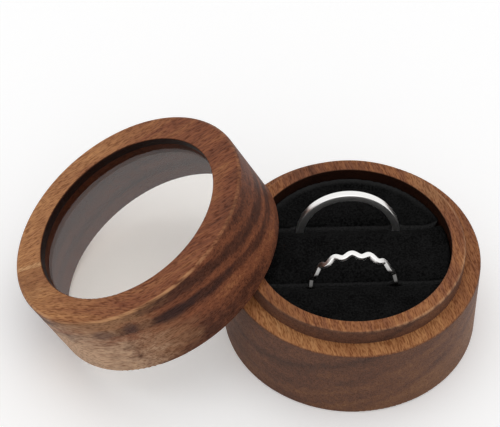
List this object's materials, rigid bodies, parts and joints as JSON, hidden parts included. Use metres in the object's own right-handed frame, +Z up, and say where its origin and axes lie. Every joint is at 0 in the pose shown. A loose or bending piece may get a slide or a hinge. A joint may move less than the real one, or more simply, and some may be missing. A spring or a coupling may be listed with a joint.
{
  "type": "ring display box",
  "caption": "Round turned-wood ring display box: slotted velvet insert holding finger rings, and a lift-off glass-window lid that leans on the base.",
  "frame": {"origin": "centre of the flat underside of the base", "axes": "+Z up, +X along the ring slots, away from the leaning lid, +Y towards the back slot"},
  "size_m": [0.1085, 0.0645, 0.0449],
  "materials": {
    "walnut": "oiled, turned",
    "clear_glass": "clear",
    "clear_adhesive": "clear bead",
    "black_velvet": "short pile",
    "white_foam": "open-cell foam",
    "grey_card": "plain board",
    "polished_silver": "mirror polish"
  },
  "bodies": {
    "base": {"base_body": "walnut", "insert_card": "grey_card", "foam_front": "white_foam", "foam_middle": "white_foam", "foam_rear": "white_foam", "velvet_front": "black_velvet", "velvet_middle": "black_velvet", "velvet_rear": "black_velvet"},
    "lid": {"lid_body": "walnut", "window_glass": "clear_glass", "glass_bead": "clear_adhesive"},
    "plain_ring": {"ring_plain": "polished_silver"},
    "wavy_ring": {"ring_wavy": "polished_silver"}
  },
  "joints": [
    {"name": "lid_lift", "type": "slide", "parent": "base", "child": "lid", "axis": [0, 0, 1], "range_m": [0, 0.06]},
    {"name": "plain_ring_lift", "type": "slide", "parent": "base", "child": "plain_ring", "axis": [0, 0.1564, 0.9877], "range_m": [0, 0.03]},
    {"name": "wavy_ring_lift", "type": "slide", "parent": "base", "child": "wavy_ring", "axis": [0, 0.1045, 0.9945], "range_m": [0, 0.03]}
  ]
}
